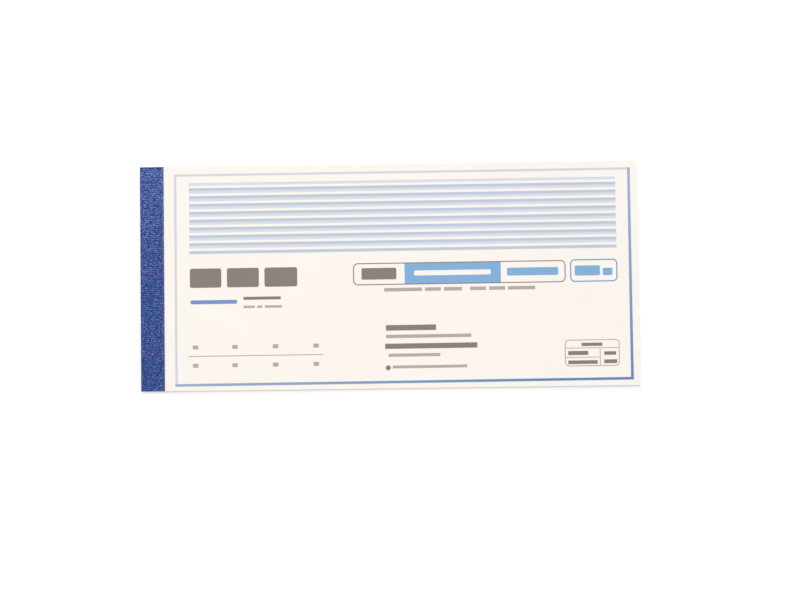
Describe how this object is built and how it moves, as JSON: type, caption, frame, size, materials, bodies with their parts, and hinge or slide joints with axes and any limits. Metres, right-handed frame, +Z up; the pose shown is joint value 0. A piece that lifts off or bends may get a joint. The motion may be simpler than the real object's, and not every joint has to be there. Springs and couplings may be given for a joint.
{
  "type": "duplicate receipt book",
  "caption": "Side-bound duplicate receipt book: printed paper cover, pad of perforated receipts with copies, stiff back board, wire stitches and blue cloth binding tape.",
  "frame": {"origin": "on the table under the middle of the closed book", "axes": "+X from the taped spine to the fore edge, +Y from the foot of the cover to its head, +Z up through the front cover"},
  "size_m": [0.188, 0.085, 0.0057],
  "materials": {
    "cover_paper": "matte",
    "receipt_paper": "matte",
    "copy_paper": "matte",
    "set_paper": "matte",
    "back_board": "matte",
    "cloth_tape": "satin",
    "stitch_wire": "satin"
  },
  "bodies": {
    "binding": {"back_cover": "back_board", "binding_tape": "cloth_tape", "wire_stitches": "stitch_wire", "front_cover_stub": "cover_paper", "receipt_stubs": "receipt_paper", "copy_stubs": "copy_paper"},
    "set_35": {"set_35": "set_paper"},
    "set_34": {"set_34": "set_paper"},
    "set_33": {"set_33": "set_paper"},
    "set_32": {"set_32": "set_paper"},
    "set_31": {"set_31": "set_paper"},
    "set_30": {"set_30": "set_paper"},
    "set_29": {"set_29": "set_paper"},
    "set_28": {"set_28": "set_paper"},
    "set_27": {"set_27": "set_paper"},
    "set_26": {"set_26": "set_paper"},
    "set_25": {"set_25": "set_paper"},
    "set_24": {"set_24": "set_paper"},
    "set_23": {"set_23": "set_paper"},
    "set_22": {"set_22": "set_paper"},
    "set_21": {"set_21": "set_paper"},
    "set_20": {"set_20": "set_paper"},
    "set_19": {"set_19": "set_paper"},
    "set_18": {"set_18": "set_paper"},
    "set_17": {"set_17": "set_paper"},
    "set_16": {"set_16": "set_paper"},
    "set_15": {"set_15": "set_paper"},
    "set_14": {"set_14": "set_paper"},
    "set_13": {"set_13": "set_paper"},
    "set_12": {"set_12": "set_paper"},
    "set_11": {"set_11": "set_paper"},
    "set_10": {"set_10": "set_paper"},
    "set_09": {"set_09": "set_paper"},
    "set_08": {"copy_08": "copy_paper", "receipt_margin_08": "receipt_paper"},
    "receipt_08": {"receipt_08": "receipt_paper"},
    "set_07": {"copy_07": "copy_paper", "receipt_margin_07": "receipt_paper"},
    "receipt_07": {"receipt_07": "receipt_paper"},
    "set_06": {"copy_06": "copy_paper", "receipt_margin_06": "receipt_paper"},
    "receipt_06": {"receipt_06": "receipt_paper"},
    "set_05": {"copy_05": "copy_paper", "receipt_margin_05": "receipt_paper"},
    "receipt_05": {"receipt_05": "receipt_paper"},
    "set_04": {"copy_04": "copy_paper", "receipt_margin_04": "receipt_paper"},
    "receipt_04": {"receipt_04": "receipt_paper"},
    "set_03": {"copy_03": "copy_paper", "receipt_margin_03": "receipt_paper"},
    "receipt_03": {"receipt_03": "receipt_paper"},
    "set_02": {"copy_02": "copy_paper", "receipt_margin_02": "receipt_paper"},
    "receipt_02": {"receipt_02": "receipt_paper"},
    "set_01": {"copy_01": "copy_paper", "receipt_margin_01": "receipt_paper"},
    "receipt_01": {"receipt_01": "receipt_paper"},
    "front_cover": {"front_cover": "cover_paper"}
  },
  "joints": [
    {"name": "cover_turn", "type": "hinge", "parent": "set_01", "child": "front_cover", "pos_m": [-0.08495, 0, 0.00573], "axis": [0, -1, 0], "range_deg": [0, 179.99]},
    {"name": "set_01_turn", "type": "hinge", "parent": "set_02", "child": "set_01", "pos_m": [-0.08495, 0, 0.00573], "axis": [0, -1, 0], "range_deg": [0, 179.99]},
    {"name": "set_02_turn", "type": "hinge", "parent": "set_03", "child": "set_02", "pos_m": [-0.08495, 0, 0.00573], "axis": [0, -1, 0], "range_deg": [0, 179.99]},
    {"name": "set_03_turn", "type": "hinge", "parent": "set_04", "child": "set_03", "pos_m": [-0.08495, 0, 0.00573], "axis": [0, -1, 0], "range_deg": [0, 179.99]},
    {"name": "set_04_turn", "type": "hinge", "parent": "set_05", "child": "set_04", "pos_m": [-0.08495, 0, 0.00573], "axis": [0, -1, 0], "range_deg": [0, 179.99]},
    {"name": "set_05_turn", "type": "hinge", "parent": "set_06", "child": "set_05", "pos_m": [-0.08495, 0, 0.00573], "axis": [0, -1, 0], "range_deg": [0, 179.99]},
    {"name": "set_06_turn", "type": "hinge", "parent": "set_07", "child": "set_06", "pos_m": [-0.08495, 0, 0.00573], "axis": [0, -1, 0], "range_deg": [0, 179.99]},
    {"name": "set_07_turn", "type": "hinge", "parent": "set_08", "child": "set_07", "pos_m": [-0.08495, 0, 0.00573], "axis": [0, -1, 0], "range_deg": [0, 179.99]},
    {"name": "set_08_turn", "type": "hinge", "parent": "set_09", "child": "set_08", "pos_m": [-0.08495, 0, 0.00573], "axis": [0, -1, 0], "range_deg": [0, 179.99]},
    {"name": "set_01_tear_off", "type": "slide", "parent": "set_01", "child": "receipt_01", "axis": [1, 0, 0], "range_m": [0, 0.18]},
    {"name": "set_02_tear_off", "type": "slide", "parent": "set_02", "child": "receipt_02", "axis": [1, 0, 0], "range_m": [0, 0.18]},
    {"name": "set_03_tear_off", "type": "slide", "parent": "set_03", "child": "receipt_03", "axis": [1, 0, 0], "range_m": [0, 0.18]},
    {"name": "set_04_tear_off", "type": "slide", "parent": "set_04", "child": "receipt_04", "axis": [1, 0, 0], "range_m": [0, 0.18]},
    {"name": "set_05_tear_off", "type": "slide", "parent": "set_05", "child": "receipt_05", "axis": [1, 0, 0], "range_m": [0, 0.18]},
    {"name": "set_06_tear_off", "type": "slide", "parent": "set_06", "child": "receipt_06", "axis": [1, 0, 0], "range_m": [0, 0.18]},
    {"name": "set_07_tear_off", "type": "slide", "parent": "set_07", "child": "receipt_07", "axis": [1, 0, 0], "range_m": [0, 0.18]},
    {"name": "set_08_tear_off", "type": "slide", "parent": "set_08", "child": "receipt_08", "axis": [1, 0, 0], "range_m": [0, 0.18]},
    {"name": "set_35_turn", "type": "hinge", "parent": "binding", "child": "set_35", "pos_m": [-0.08495, 0, 0.00573], "axis": [0, -1, 0], "range_deg": [0, 179.99]},
    {"name": "set_34_turn", "type": "hinge", "parent": "set_35", "child": "set_34", "pos_m": [-0.08495, 0, 0.00573], "axis": [0, -1, 0], "range_deg": [0, 179.99]},
    {"name": "set_33_turn", "type": "hinge", "parent": "set_34", "child": "set_33", "pos_m": [-0.08495, 0, 0.00573], "axis": [0, -1, 0], "range_deg": [0, 179.99]},
    {"name": "set_32_turn", "type": "hinge", "parent": "set_33", "child": "set_32", "pos_m": [-0.08495, 0, 0.00573], "axis": [0, -1, 0], "range_deg": [0, 179.99]},
    {"name": "set_31_turn", "type": "hinge", "parent": "set_32", "child": "set_31", "pos_m": [-0.08495, 0, 0.00573], "axis": [0, -1, 0], "range_deg": [0, 179.99]},
    {"name": "set_30_turn", "type": "hinge", "parent": "set_31", "child": "set_30", "pos_m": [-0.08495, 0, 0.00573], "axis": [0, -1, 0], "range_deg": [0, 179.99]},
    {"name": "set_29_turn", "type": "hinge", "parent": "set_30", "child": "set_29", "pos_m": [-0.08495, 0, 0.00573], "axis": [0, -1, 0], "range_deg": [0, 179.99]},
    {"name": "set_28_turn", "type": "hinge", "parent": "set_29", "child": "set_28", "pos_m": [-0.08495, 0, 0.00573], "axis": [0, -1, 0], "range_deg": [0, 179.99]},
    {"name": "set_27_turn", "type": "hinge", "parent": "set_28", "child": "set_27", "pos_m": [-0.08495, 0, 0.00573], "axis": [0, -1, 0], "range_deg": [0, 179.99]},
    {"name": "set_26_turn", "type": "hinge", "parent": "set_27", "child": "set_26", "pos_m": [-0.08495, 0, 0.00573], "axis": [0, -1, 0], "range_deg": [0, 179.99]},
    {"name": "set_25_turn", "type": "hinge", "parent": "set_26", "child": "set_25", "pos_m": [-0.08495, 0, 0.00573], "axis": [0, -1, 0], "range_deg": [0, 179.99]},
    {"name": "set_24_turn", "type": "hinge", "parent": "set_25", "child": "set_24", "pos_m": [-0.08495, 0, 0.00573], "axis": [0, -1, 0], "range_deg": [0, 179.99]},
    {"name": "set_23_turn", "type": "hinge", "parent": "set_24", "child": "set_23", "pos_m": [-0.08495, 0, 0.00573], "axis": [0, -1, 0], "range_deg": [0, 179.99]},
    {"name": "set_22_turn", "type": "hinge", "parent": "set_23", "child": "set_22", "pos_m": [-0.08495, 0, 0.00573], "axis": [0, -1, 0], "range_deg": [0, 179.99]},
    {"name": "set_21_turn", "type": "hinge", "parent": "set_22", "child": "set_21", "pos_m": [-0.08495, 0, 0.00573], "axis": [0, -1, 0], "range_deg": [0, 179.99]},
    {"name": "set_20_turn", "type": "hinge", "parent": "set_21", "child": "set_20", "pos_m": [-0.08495, 0, 0.00573], "axis": [0, -1, 0], "range_deg": [0, 179.99]},
    {"name": "set_19_turn", "type": "hinge", "parent": "set_20", "child": "set_19", "pos_m": [-0.08495, 0, 0.00573], "axis": [0, -1, 0], "range_deg": [0, 179.99]},
    {"name": "set_18_turn", "type": "hinge", "parent": "set_19", "child": "set_18", "pos_m": [-0.08495, 0, 0.00573], "axis": [0, -1, 0], "range_deg": [0, 179.99]},
    {"name": "set_17_turn", "type": "hinge", "parent": "set_18", "child": "set_17", "pos_m": [-0.08495, 0, 0.00573], "axis": [0, -1, 0], "range_deg": [0, 179.99]},
    {"name": "set_16_turn", "type": "hinge", "parent": "set_17", "child": "set_16", "pos_m": [-0.08495, 0, 0.00573], "axis": [0, -1, 0], "range_deg": [0, 179.99]},
    {"name": "set_15_turn", "type": "hinge", "parent": "set_16", "child": "set_15", "pos_m": [-0.08495, 0, 0.00573], "axis": [0, -1, 0], "range_deg": [0, 179.99]},
    {"name": "set_14_turn", "type": "hinge", "parent": "set_15", "child": "set_14", "pos_m": [-0.08495, 0, 0.00573], "axis": [0, -1, 0], "range_deg": [0, 179.99]},
    {"name": "set_13_turn", "type": "hinge", "parent": "set_14", "child": "set_13", "pos_m": [-0.08495, 0, 0.00573], "axis": [0, -1, 0], "range_deg": [0, 179.99]},
    {"name": "set_12_turn", "type": "hinge", "parent": "set_13", "child": "set_12", "pos_m": [-0.08495, 0, 0.00573], "axis": [0, -1, 0], "range_deg": [0, 179.99]},
    {"name": "set_11_turn", "type": "hinge", "parent": "set_12", "child": "set_11", "pos_m": [-0.08495, 0, 0.00573], "axis": [0, -1, 0], "range_deg": [0, 179.99]},
    {"name": "set_10_turn", "type": "hinge", "parent": "set_11", "child": "set_10", "pos_m": [-0.08495, 0, 0.00573], "axis": [0, -1, 0], "range_deg": [0, 179.99]},
    {"name": "set_09_turn", "type": "hinge", "parent": "set_10", "child": "set_09", "pos_m": [-0.08495, 0, 0.00573], "axis": [0, -1, 0], "range_deg": [0, 179.99]}
  ]
}
